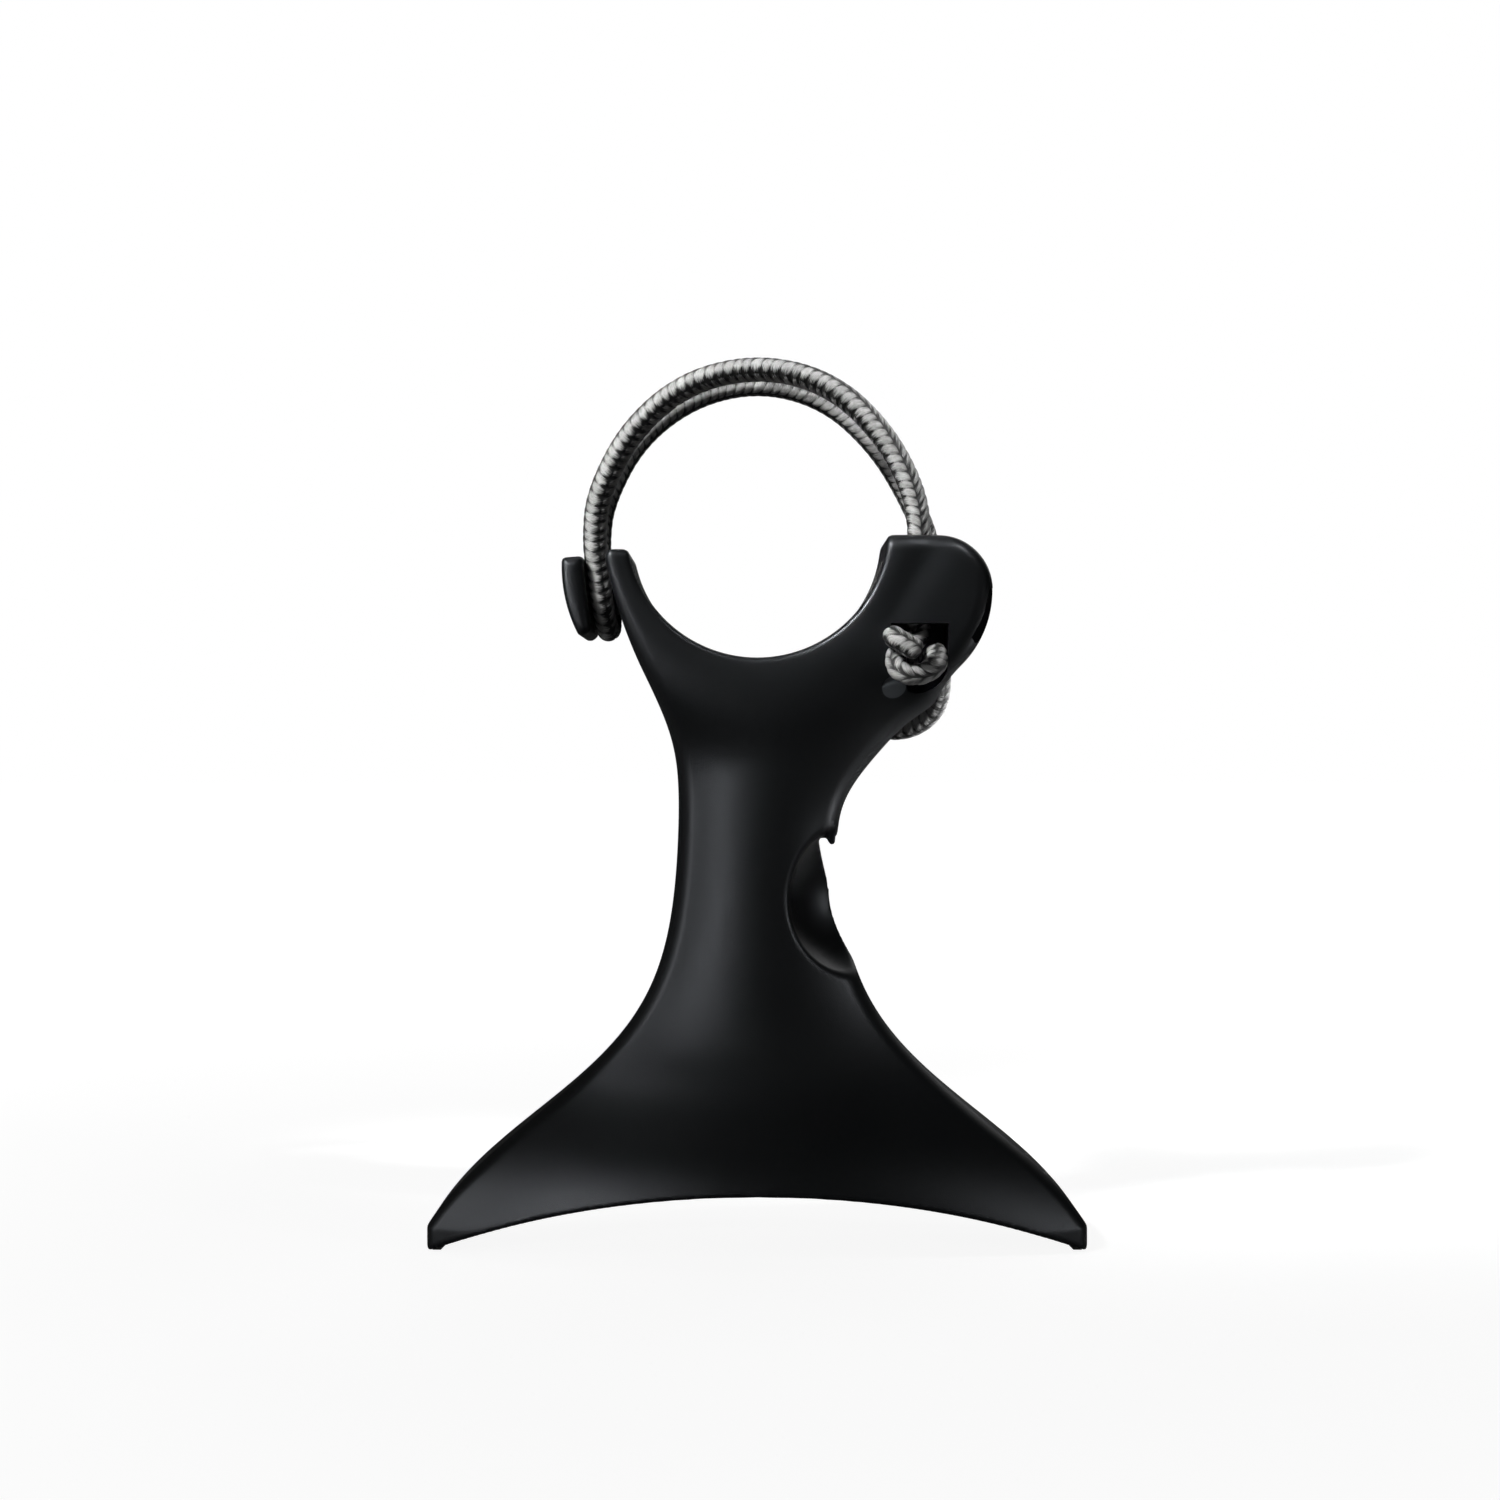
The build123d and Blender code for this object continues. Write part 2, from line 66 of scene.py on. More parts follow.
class Wire:
    """A socket in a material's node tree; arithmetic on it adds the nodes that do the sum."""

    def __init__(self, tree, socket):
        self.tree = tree
        self.socket = socket

    def node(self, kind, settings=None, out=0, **sockets):
        """A node of the given type: settings first, then values or links for its sockets, by name or as i0, i1."""
        made = self.tree.nodes.new(kind)
        for key, value in (settings or {}).items():
            setattr(made, key, value)
        for key, value in sockets.items():
            place = int(key[1:]) if key[0] == "i" and key[1:].isdigit() else key.replace("_", " ")
            if isinstance(value, Wire):
                self.tree.links.new(value.socket, made.inputs[place])
            else:
                made.inputs[place].default_value = value
        return Wire(self.tree, made.outputs[out])

    def sum(self, operation, *terms):
        return self.node("ShaderNodeMath", {"operation": operation}, **{f"i{i}": t for i, t in enumerate(terms)})

    def __add__(self, other): return self.sum("ADD", self, other)
    def __radd__(self, other): return self.sum("ADD", other, self)
    def __sub__(self, other): return self.sum("SUBTRACT", self, other)
    def __rsub__(self, other): return self.sum("SUBTRACT", other, self)
    def __mul__(self, other): return self.sum("MULTIPLY", self, other)

    def at_most(self, other): return self.sum("MINIMUM", self, other)
    def at_least(self, other): return self.sum("MAXIMUM", self, other)

    def mix(self, low, high):
        """A colour between two, by this value."""
        return self.node("ShaderNodeMix", {"data_type": "RGBA"}, out=2, i0=self, i6=low, i7=high)

    def scaled(self, x, y, z):
        return self.node("ShaderNodeVectorMath", {"operation": "MULTIPLY"}, i0=self, i1=(x, y, z))

    def noise(self, scale, detail=2.0, roughness=0.5):
        return self.node("ShaderNodeTexNoise", Vector=self, Scale=scale, Detail=detail, Roughness=roughness)


def finish(name):
    """An empty material, its shader node and a wire to hang nodes on."""
    material = bpy.data.materials.new(name)
    material.use_nodes = True
    tree = material.node_tree
    shader = tree.nodes["Principled BSDF"]
    return material, shader, Wire(tree, None)


def plug(wire, shader, name):
    """Lets a wire drive one input of a shader."""
    wire.tree.links.new(wire.socket, shader.inputs[name])


def paint(piece, material):
    """Gives a piece one material in all its slots."""
    slots = piece.data.materials
    if not slots:
        slots.append(material)
    for i in range(len(slots)):
        slots[i] = material


floor_mesh = bpy.data.meshes.new("floor")
reach = 6
corners = [(-reach, -reach, 0), (reach, -reach, 0), (reach, reach, 0), (-reach, reach, 0)]
floor_mesh.from_pydata(corners, [], [(0, 1, 2, 3)])
floor = bpy.data.objects.new("floor", floor_mesh)
scene.collection.objects.link(floor)
floor_finish, floor_shader, wires = finish("floor_paint")
floor_shader.inputs["Roughness"].default_value = 1.0
floor_shader.inputs["Specular IOR Level"].default_value = 0.0
floor_shader.inputs["Emission Strength"].default_value = 1.0
speckle = wires.node("ShaderNodeNewGeometry").noise(40.0)
plug(speckle.mix((0.24, 0.24, 0.24, 1), (0.26, 0.26, 0.26, 1)), floor_shader, "Base Color")
# to the camera the floor glows almost white at the stand and white further out, to other rays it is grey
away = wires.node("ShaderNodeVectorMath", {"operation": "LENGTH"}, out=1, i0=wires.node("ShaderNodeNewGeometry"))
glow = ((away - 0.12) * 3.0).at_least(0.0).at_most(1.0) * 0.09 + 0.91
white = glow.mix((0, 0, 0, 1), (1, 1, 1, 1))
seen = wires.node("ShaderNodeLightPath")
plug(seen.mix((0, 0, 0, 1), white), floor_shader, "Emission Color")
paint(floor, floor_finish)

world = bpy.data.worlds.new("surround")
world.use_nodes = True
ambient = 0.025
seen = Wire(world.node_tree, None).node("ShaderNodeLightPath")
plug(seen.mix((ambient, ambient, ambient, 1), (1, 1, 1, 1)), world.node_tree.nodes["Background"], "Color")
scene.world = world


def lamp(name, place, size, power, target=(0, 0, 0.085), spread=180):
    """A rectangular lamp of so many metres and watts, aimed at a target with a beam of so many degrees."""
    light = bpy.data.lights.new(name, "AREA")
    light.shape = "RECTANGLE"
    light.size, light.size_y = size
    light.energy = power
    light.spread = radians(spread)
    holder = bpy.data.objects.new(name, light)
    holder.location = place
    holder.rotation_euler = (Vector(target) - Vector(place)).to_track_quat("-Z", "Y").to_euler()
    scene.collection.objects.link(holder)


lamp("key", (-0.69, -0.28, 0.16), (0.12, 0.45), 1.25)
lamp("fill", (0.58, -0.34, 0.10), (0.30, 0.12), 0.018, (0.02, 0, 0.036), 12)
lamp("top", (-0.10, 0.16, 0.80), (0.60, 0.25), 0.35)
lamp("low", (-0.31, -0.52, 0.03), (0.12, 0.14), 0.020, (0, 0, 0.028), 26)
lamp("arch", (-0.40, -0.31, 0.58), (0.12, 0.12), 0.13, (-0.004, 0, 0.171), 13)
lamp("post", (-0.42, -0.30, 0.22), (0.03, 0.03), 0.0012, (-0.031, 0, 0.131), 4.5)
lamp("wing", (-0.40, -0.46, 0.16), (0.05, 0.05), 0.0012, (-0.045, 0, 0.012), 6)
lamp("crown", (0.26, -0.24, 0.60), (0.05, 0.05), 0.010, (0.026, 0, 0.170), 6)
lamp("tail", (0.45, 0.03, 0.012), (0.03, 0.03), 0.0085, (0.039, 0.012, 0.107), 6)
lamp("back", (0.30, 0.70, 0.45), (0.50, 0.40), 0.6)


# ---- the elastic cord ----
# One length of 5 mm shock cord, rubber strands in a sheath braided from grey yarn. It comes up out of the
# boss in front, arches over the cradle, goes round the post on the left arm and back over to the boss,
# where it comes out behind and its end is tucked into a hole.

MM = 0.001
strand = 7.3  # from the middle plane to each strand
cord_size = 5.0
cord_route = [
    (32.7, -7.6, 124.0),
    (32.9, -7.4, 134.0),
    (33.2, -strand, 143.5),
    (32.2, -strand, 153.8),
    (25.7, -strand, 166.1),
    (15.2, -strand, 176.0),
    (1.0, -strand, 179.7),
    (-13.8, -strand, 176.6),
    (-25.4, -strand, 167.1),
    (-32.3, -strand, 153.8),
    (-33.1, -strand, 144.8),
    (-32.4, -strand, 137.8),
    (-31.5, -strand, 130.8),
    (-30.8, -3.0, 126.5),
    (-30.6, 3.0, 126.5),
    (-30.9, strand, 130.8),
    (-32.5, strand, 137.8),
    (-33.3, strand, 144.8),
    (-32.3, strand, 153.8),
    (-25.4, strand, 167.1),
    (-13.4, strand, 176.2),
    (1.0, strand, 179.3),
    (15.0, strand, 175.4),
    (25.6, strand, 165.6),
    (32.2, strand, 154.6),
    (36.4, 7.4, 144.5),
    (37.4, 8.0, 131.0),
    (38.3, 8.75, 120.5),
    (38.6, 9.0, 117.0),
    (38.2, 10.8, 111.0),
    (33.8, 12.8, 106.7),
    (27.6, 14.8, 105.9),
    (22.8, 16.8, 109.2),
    (22.8, 16.6, 115.4),
    (23.2, 11.4, 120.6),
]


def centre_line(name, points):
    """Points along the smooth spline that has these as its control points, in metres."""
    curve = bpy.data.curves.new(name, "CURVE")
    curve.dimensions = "3D"
    curve.resolution_u = 24
    spline = curve.splines.new("NURBS")
    spline.points.add(len(points) - 1)
    for knot, (x, y, z) in zip(spline.points, points):
        knot.co = (x * MM, y * MM, z * MM, 1)
    spline.order_u = 3
    spline.use_endpoint_u = True
    holder = bpy.data.objects.new(name, curve)
    mesh = bpy.data.meshes.new_from_object(holder)
    line = np.array([v.co for v in mesh.vertices])
    bpy.data.objects.remove(holder)
    bpy.data.meshes.remove(mesh)
    return line


def resampled(line, step):
    """The same line at even steps, with the distance run at each."""
    runs = np.linalg.norm(np.diff(line, axis=0), axis=1)
    run = np.concatenate([[0], np.cumsum(runs)])
    places = np.linspace(0, run[-1], int(run[-1] / step) + 1)
    return np.stack([np.interp(places, run, line[:, i]) for i in range(3)], axis=1), places


def braided_tube(name, line, size, facing, pitch=1.95, slant=-1.6, ease=0.0, twist=0.0):
    """A closed tube along a line, raised into the fat overlapping stitches of a braided sheath.

    facing is the way that the middle of one column of stitches looks at the tube's start, and ease how
    readily it turns back that way further on; slant is how far the stitches of every other column lean,
    and twist how many degrees the cord turns about itself on the first half of its arch."""
    columns = 4
    relief = 0.30
    around = 64
    along_step = 0.15
    points, run = resampled(line, along_step * MM)
    count = len(points)
    tangents = np.gradient(points, axis=0)
    tangents /= np.linalg.norm(tangents, axis=1)[:, None]
    side = np.zeros_like(points)
    side[0] = np.array(facing) - tangents[0] * tangents[0].dot(facing)
    side[0] /= np.linalg.norm(side[0])
    for i in range(1, count):
        carried = side[i - 1] + ease * np.array(facing)
        carried = carried - tangents[i] * carried.dot(tangents[i])
        side[i] = carried / np.linalg.norm(carried)
    up = np.cross(tangents, side)
    angle = np.arange(around) * 2 * pi / around
    turn = angle[None, :] * columns / (2 * pi) + 0.5
    column = np.floor(turn) % columns
    across = turn - np.floor(turn) - 0.5
    # stitches lie almost square to the run in one column and lean in the next, none quite alike
    lean = np.where(column % 2 == 0, 0.6, slant)
    wobble = 0.10 * np.sin(run * 410) + 0.07 * np.sin(run * 1130 + 2)
    along = (run / (pitch * MM) + wobble)[:, None] + lean * across + 0.9 * across**2 + 0.5 * (column % 2)
    stitch = np.abs(np.sin(pi * along))
    # the gaps between them open into notches towards the edges of their column
    shoulder = np.clip(np.cos(pi * across), 0, 1)
    # how far each stitch dives under the next column: it shapes the notches here, and the material paints shade there
    dive_under_and_shade = np.where(column % 2 == 0, np.clip(-across, 0, 1), np.abs(across))
    height = stitch ** (0.13 + 1.6 * across**2 + 3.5 * dive_under_and_shade**2) * (0.35 + 0.65 * shoulder**0.35)
    # the cut ends are rounded over
    ends = np.minimum(run, run[-1] - run) / (size * 0.30 * MM)
    ends = np.clip(ends, 0.02, 1)
    radius = (size / 2 - relief * (1 - height)) * MM * np.sqrt(ends * (2 - ends))[:, None]
    share = np.clip((run - 0.025) / 0.050, 0, 1)
    turned = angle + (radians(twist) * share**2 * (3 - 2 * share))[:, None]
    ring = np.cos(turned)[..., None] * side[:, None] + np.sin(turned)[..., None] * up[:, None]
    places = (points[:, None] + radius[..., None] * ring).reshape(-1, 3)
    i, j = np.meshgrid(np.arange(count - 1), np.arange(around), indexing="ij")
    k = (j + 1) % around
    quads = np.stack([i * around + j, i * around + k, (i + 1) * around + k, (i + 1) * around + j], axis=-1)
    quads = quads.reshape(-1, 4)
    caps = [list(range(around))[::-1], list(range((count - 1) * around, count * around))]
    mesh = bpy.data.meshes.new(name)
    mesh.from_pydata(places.tolist(), [], quads.tolist() + caps)
    mesh.polygons.foreach_set("use_smooth", [True] * len(mesh.polygons))
    # for the material: the distance run and round, each stitch's number and yarns, and its height and how far it dives
    # under, from which the material paints shade into the gaps
    loops = np.zeros(len(mesh.loops), dtype=int)
    mesh.loops.foreach_get("vertex_index", loops)
    spoke = loops % around
    wraps = np.zeros(len(loops), bool)
    wraps[: 4 * len(quads)] = np.isin(np.arange(4 * len(quads)) % 4, (1, 2))
    spoke = np.where(wraps & (spoke == 0), around, spoke)
    layer = mesh.uv_layers.new(name="run")
    coords = np.stack([run[loops // around] / MM, spoke * (pi * size / around)], axis=1)
    layer.data.foreach_set("uv", coords.ravel())
    for key, values in (("height", height), ("stitch", np.floor(along) + 0.37 * column),
                        ("dive_under_and_shade", np.broadcast_to(2 * dive_under_and_shade, height.shape)), ("thread", along)):
        mesh.attributes.new(key, "FLOAT", "POINT").data.foreach_set("value", values.ravel())
    piece = bpy.data.objects.new(name, mesh)
    scene.collection.objects.link(piece)
    return piece


cord_finish, cord_shader, wires = finish("braided_yarn")
height, stitch, dive_under_and_shade, thread = (
    wires.node("ShaderNodeAttribute", {"attribute_name": key}, out=2)
    for key in ("height", "stitch", "dive_under_and_shade", "thread"))
run_uv = wires.node("ShaderNodeUVMap", {"uv_map": "run"})
around = wires.node("ShaderNodeSeparateXYZ", out=1, Vector=run_uv)
fibre = wires.node("ShaderNodeCombineXYZ", X=thread * 13.0, Y=around * 0.5).noise(1.0, 3.0, 0.7)
tuft = run_uv.scaled(1.4, 1.0, 1).noise(1.0, 2.0)
each = wires.node("ShaderNodeTexWhiteNoise", {"noise_dimensions": "1D"}, W=stitch)
# painted shade: the gaps between stitches, and the inner side of each column where its stitches dive under the next,
# are darkened nearly to black, streaked by the yarns that dive into them
painted_shade = (height * 2.2 - 1.0 - dive_under_and_shade * 0.45 + (fibre - 0.5) * (1.4 + dive_under_and_shade * 5.5)).at_most(1.0).at_least(0.0)
yarn = (fibre * 0.9 + tuft * 0.45 + each * 0.25 - 0.3).mix((0.06, 0.06, 0.0595, 1), (0.50, 0.50, 0.495, 1))
plug(painted_shade.mix((0.006, 0.006, 0.006, 1), yarn), cord_shader, "Base Color")
plug(0.46 + fibre * 0.2, cord_shader, "Roughness")
plug(wires.node("ShaderNodeBump", Height=fibre, Distance=0.00015, Strength=0.7), cord_shader, "Normal")
cord_shader.inputs["Specular IOR Level"].default_value = 0.4

cord_line = centre_line("cord_line", cord_route)
elastic_cord = braided_tube("elastic_cord", cord_line, cord_size, (-0.59, -0.81, 0), twist=56)
paint(elastic_cord, cord_finish)


# ---- the stopper knot ----
# The front end of the same cord, tied in an overhand knot that is too fat for its bore and fills the pocket
# under it. Pulled tight, the cord is thinner there. It is cut off short.

knot_size = 4.4
knot_route = [
    (32.4, -17.8, 120.9),
    (29.4, -17.6, 122.6),
    (26.7, -16.6, 124.4),
    (28.1, -12.4, 124.0),
    (29.2, -7.6, 120.6),
    (31.2, -5.8, 117.8),
    (34.6, -5.9, 119.4),
    (36.3, -8.6, 122.0),
    (36.2, -13.8, 118.8),
    (33.2, -15.2, 116.7),
    (30.0, -15.6, 116.5),
    (27.7, -14.8, 117.9),
    (27.8, -12.6, 120.8),
    (28.8, -10.8, 122.8),
    (31.2, -10.0, 123.2),
    (33.0, -9.2, 124.6),
    (33.2, -7.6, 126.8),
]
knot_line = centre_line("knot_line", knot_route)
stopper_knot = braided_tube("stopper_knot", knot_line, knot_size, (-0.2, -1, -0.2), 2.1, -0.9, 0.012)
paint(stopper_knot, cord_finish)
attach(stopper_knot, "stand")
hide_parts("front_knot")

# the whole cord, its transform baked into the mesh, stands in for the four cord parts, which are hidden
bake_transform(elastic_cord)
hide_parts("cord_front", "cord_bight", "cord_back", "cord_tail")


# ---- the body ----
# One hollow moulding in matt black plastic: an arched, flared base, a slim crowned neck with a thumb scoop
# and a hooked tooth on its right, and the U of the cradle, which swells into the boss that holds the cord.
# It is shaped here as a solid field, in millimetres, negative inside, and then skinned.

grid_step = 0.5
grid_x = np.arange(-69.5, 70.0, grid_step)
grid_y = np.arange(-25.0, 25.5, grid_step)
grid_z = np.arange(-1.0, 146.5, grid_step)
flat_x, flat_z = np.meshgrid(grid_x, grid_z, indexing="ij")

cradle_radius = 26.2
cradle_height = 146.4
half_depth = 13.5
arch_rise = 14.0
neck_half_width = 15.7
base_half_width = 67.0
flare_height = 26.5
flare_softness = 12.3
flare_overshoot = 9.0  # of the flare's curve past the wings' ends, which cut it off
arm_top = 142.0
arm_width = 4.8
boss_top = 145.0


def fall(z, middle, softness):
    """1 well below the middle and 0 well above it."""
    return 1 / (1 + np.exp((z - middle) / softness))


def ramp(z, start, slope, softness):
    """Nothing below the start and a straight slope above it."""
    return slope * softness * np.log1p(np.exp((z - start) / softness))


def flare(z):
    """How far the base reaches out past the neck."""
    spread = base_half_width - neck_half_width
    return np.minimum((spread + flare_overshoot) * fall(z, flare_height, flare_softness), spread)


def left_side(z):
    """Half width of the left side, which opens into the arm."""
    return neck_half_width + flare(z) + ramp(z, 102.9, 0.5, 4.5)


def right_side(z):
    """Half width of the right side, which opens into the boss and bulges where the cord's tail crosses it."""
    return neck_half_width + flare(z) + ramp(z, 91.5, 0.94, 3.5) + 2.0 * np.exp(-((z - 111.0) / 3.4) ** 2)


def crowned(x, left, right, front, end):
    """Half depth of a section whose front and back are arcs, from end depth at its sides to front depth."""
    middle, half = (right - left) / 2, (right + left) / 2
    rise = np.maximum(front - end, 0.01)
    radius = (half**2 + rise**2) / (2 * rise)
    reach = np.minimum(np.abs(x - middle), half)
    return front - radius + np.sqrt(radius**2 - reach**2)


def arc(start, end, bulge, count=24):
    """Points of a circular arc that leaves its chord by bulge, to the left of the way from start to end."""
    (ax, az), (bx, bz) = start, end
    dx, dz = (bx - ax) / 2, (bz - az) / 2
    half = sqrt(dx * dx + dz * dz)
    radius = (half * half + bulge * bulge) / (2 * abs(bulge))
    back = (radius - abs(bulge)) * (1 if bulge > 0 else -1)
    cx, cz = ax + dx + dz / half * back, az + dz - dx / half * back
    first = np.arctan2(az - cz, ax - cx)
    last = np.arctan2(bz - cz, bx - cx)
    sweep = (last - first + pi) % (2 * pi) - pi
    return [(cx + radius * cos(first + sweep * t / count), cz + radius * sin(first + sweep * t / count))
            for t in range(1, count + 1)]


def outline_distance(x, z, loop):
    """Distance to a closed outline, negative inside it."""
    nearest = np.full(x.shape, 1e9)
    inside = np.zeros(x.shape, bool)
    for (ax, az), (bx, bz) in zip(loop, loop[1:] + loop[:1]):
        ex, ez = bx - ax, bz - az
        share = np.clip(((x - ax) * ex + (z - az) * ez) / (ex * ex + ez * ez), 0, 1)
        nearest = np.minimum(nearest, (x - ax - share * ex) ** 2 + (z - az - share * ez) ** 2)
        if az != bz:
            inside ^= ((az > z) != (bz > z)) & (x < ax + (z - az) * ex / ez)
    return np.where(inside, -1, 1) * np.sqrt(nearest)


def cut(solid, other, radius):
    """What is inside both fields, with the edge between them rounded."""
    return np.minimum(-radius, np.maximum(solid, other)) + np.hypot(
        np.maximum(solid + radius, 0), np.maximum(other + radius, 0))


# the outline from the front, up the right side, round the boss, over to the left arm and down
arm_outer = sqrt(cradle_radius**2 - (cradle_height - arm_top) ** 2) + arm_width
up_right = [(float(right_side(z)), float(z)) for z in np.arange(-4, 118.1, 0.5)]
chin = (up_right[-1][0] + 1.6, 119.7)
lobe = (47.6, 134.5)
lobe_top = (36.6, boss_top)
down_left = [(-float(left_side(z)), float(z)) for z in np.arange(117, -4.1, -0.5)]
arm_corner = (-arm_outer + 1.6, arm_top)
arm_tip = (-arm_outer, 140.4)
outline = up_right + [chin] + arc(chin, lobe, -1.5) + arc(lobe, lobe_top, -3.0)
outline += [(0.0, boss_top), (0.0, arm_top), arm_corner] + arc(arm_corner, arm_tip, -0.47, 8)
outline += arc(arm_tip, down_left[0], -0.8) + down_left[1:]

side = outline_distance(flat_x, flat_z, outline)
axis_gap = np.hypot(flat_x, flat_z - cradle_height)
bore = cradle_radius - axis_gap

# how far the front and the back stand from the middle plane: crowned at the neck, flat at the cradle and the
# boss, falling away a little to the cradle's edge and in a shallow valley from the pocket to the top
skirt = fall(grid_z, 28, 5)
neck = crowned(flat_x, left_side(grid_z), right_side(grid_z), 9.8 + 14.7 * skirt, 4.6 + 4.9 * skirt)
cradle_share = fall(axis_gap, 42.0, 3.3)
boss_gap = np.hypot(flat_x - 37.5, (flat_z - 131.5) * 0.9)
boss_share = fall(boss_gap, 16.5, 2.2)
share = 1 - (1 - cradle_share) * (1 - boss_share)
rim = -0.45 * np.clip((31.5 - axis_gap) / 5.3, 0, 1) ** 2
valley_gap = outline_distance(flat_x, flat_z, [(37.5, 147.0), (32.8, 138.3), (26.0, 127.5), (32.8, 138.3)])
valley = -0.45 * np.exp(-(valley_gap / 3.4) ** 2)
depth = neck + share * np.maximum(half_depth - neck, 0) + rim + valley * fall(-flat_z, -124, 3)
slope_x, slope_z = np.gradient(depth, grid_step)
steepness = np.sqrt(1 + slope_x**2 + slope_z**2)

face = (np.abs(grid_y)[None, :, None] - depth[:, None, :]) / steepness[:, None, :]
# the long edges are rounded least on the arms, more on the base, and most on the neck and the boss
edge = 1.5 + 1.9 * fall(flat_z, 131, 4)
edge += np.where(flat_x > 20, 1.6, 0) * fall(-flat_z, -120, 4)
edge -= 1.4 * fall(flat_z, 40, 5)
body = cut(face, side[:, None, :], edge[:, None, :])
body = cut(body, bore[:, None, :], 1.1)


def carve(low, high, shape, radius=0.0, join=False):
    """Changes the field inside a box of the grid: takes a shape away, or joins it on."""
    part = tuple(slice(*np.searchsorted(axis, ends)) for axis, ends in zip((grid_x, grid_y, grid_z), zip(low, high)))
    x, y, z = np.meshgrid(grid_x[part[0]], grid_y[part[1]], grid_z[part[2]], indexing="ij", sparse=True)
    other = shape(x, y, z)
    if join:
        body[part] = np.minimum(body[part], other)
    elif radius:
        body[part] = cut(body[part], -other, radius)
    else:
        body[part] = np.maximum(body[part], -other)


def brick(low, high):
    """A box between two corners, as a field."""
    middle, half = (np.array(low) + high) / 2, (np.array(high) - low) / 2

    def shape(x, y, z):
        a, b, c = np.abs(x - middle[0]) - half[0], np.abs(y - middle[1]) - half[1], np.abs(z - middle[2]) - half[2]
        outside = np.sqrt(np.maximum(a, 0) ** 2 + np.maximum(b, 0) ** 2 + np.maximum(c, 0) ** 2)
        return outside + np.minimum(np.maximum(np.maximum(a, b), c), 0)
    return shape


def rod(points, radius):
    """A round bore along straight runs, as a field."""
    def shape(x, y, z):
        nearest = 1e9
        for start, end in zip(points, points[1:]):
            a, run = np.array(start), np.array(end) - start
            share = ((x - a[0]) * run[0] + (y - a[1]) * run[1] + (z - a[2]) * run[2]) / run.dot(run)
            share = np.clip(share, 0, 1)
            gap = (x - a[0] - share * run[0]) ** 2 + (y - a[1] - share * run[1]) ** 2 + (z - a[2] - share * run[2]) ** 2
            nearest = np.minimum(nearest, gap)
        return np.sqrt(nearest) - radius
    return shape


def profile_of(points):
    """What lies within an outline in the plane of the front, as a field."""
    return lambda x, y, z: outline_distance(x[:, 0] + 0 * z[0], z[0] + 0 * x[:, 0], points)[:, None, :] + 0 * y


def egg(x, y, z):
    """The hollow of the thumb scoop, an egg a little taller than wide."""
    a, b, c = x - 22.0, y + 9.0, z - 71.3
    wide, tall = 15.5, 16.2
    near = np.sqrt((a / wide) ** 2 + (b / wide) ** 2 + (c / tall) ** 2)
    fast = np.sqrt((a / wide**2) ** 2 + (b / wide**2) ** 2 + (c / tall**2) ** 2)
    return near * (near - 1) / np.maximum(fast, 1e-6)


# the thumb scoop, the notch beside it and the tooth that hangs over them
notch_low, notch_high = (19.5, 61.0), (12.6, 83.5)
notch = profile_of([notch_high, (30.0, 83.5), (30.0, 61.0), notch_low] + arc(notch_low, notch_high, 0.7))
tooth = profile_of([(12.5, 86.4), (16.3, 86.4), (15.9, 82.2), (15.0, 82.2), (13.7, 84.9)])
carve((0, -20, 50), (34, 20, 92), lambda x, y, z: np.minimum(egg(x, y, z), notch(x, y, z)), 1.1)
carve((10, -7, 80), (20, 7, 90), lambda x, y, z: cut(tooth(x, y, z), np.abs(y) - 4.6 + 0 * x, 0.3), join=True)

# the boss: a window in its side, the bores of the front and the back strand, and the hole for the tail's end
cord_bore = 2.8
carve((40, -8, 118), (50, 8, 140), brick((44.4, -4.6, 123.4), (55, 4.6, 135.6)), 0.3)
carve((20, -15, 115), (45, 0, 147), rod([(32.5, -7.8, 120), *cord_route[:3], (33.3, -7.3, 150)], cord_bore), 0.3)
carve((25, 0, 105), (50, 20, 147), rod([(36.3, 7.4, 146.5), *cord_route[25:32]], cord_bore), 0.3)
carve((15, 5, 105), (32, 20, 127), rod(cord_route[-2:], cord_bore), 0.3)


def from_post(x, z):
    """How far a point of the arm is out along the axis of the hook's post, and how far up across it."""
    lean = radians(6)
    inward, upward = x + 31.6, z - 133.8
    return -inward * cos(lean) - upward * sin(lean), -inward * sin(lean) + upward * cos(lean)


def channel(x, y, z):
    """The flat channel in the outside of the arm that the strands lie in."""
    out, along = from_post(x, z)
    return np.maximum(np.maximum(-2.8 - out, np.abs(y) - 10.4), np.abs(along) - 20) + 0 * x


# the channel, the bore of the post's screw and the seat of the liner
liner_seat = 27.2
carve((-36, -13, 110), (-22, 13, 147), channel, 0.4)
carve((-30, -4, 125), (-20, 4, 144), rod([(-27.0, 0, 134.3), (-20, 0, 135.0)], 2.95))
carve((-29, -13, 116), (29, 13, 140), lambda x, y, z: np.maximum(
    np.hypot(x, z - cradle_height) - liner_seat, np.maximum(np.abs(y) - 11.9, z - 140)))

# the arch, the seats of the two feet at its ends, and the little that the body keeps off the ground
foot_inner, foot_outer = 64.35, 67.05
arch_radius = (base_half_width**2 + arch_rise**2) / (2 * arch_rise)
arch_centre = arch_rise - arch_radius
carve((-70, -26, -2), (70, 26, 20), lambda x, y, z: np.hypot(x, z - arch_centre) - arch_radius + 0 * y, 0.8)
for mirror in (-1, 1):
    ends = sorted((mirror * foot_inner, mirror * foot_outer))
    carve((ends[0] - 1, -9, -1), (ends[1] + 1, 9, 4), brick((ends[0], -7.05, -3), (ends[1], 7.05, 2.4)))
carve((-70, -25, -2), (70, 25, 2), lambda x, y, z: z - 0.3 + 0 * x + 0 * y)


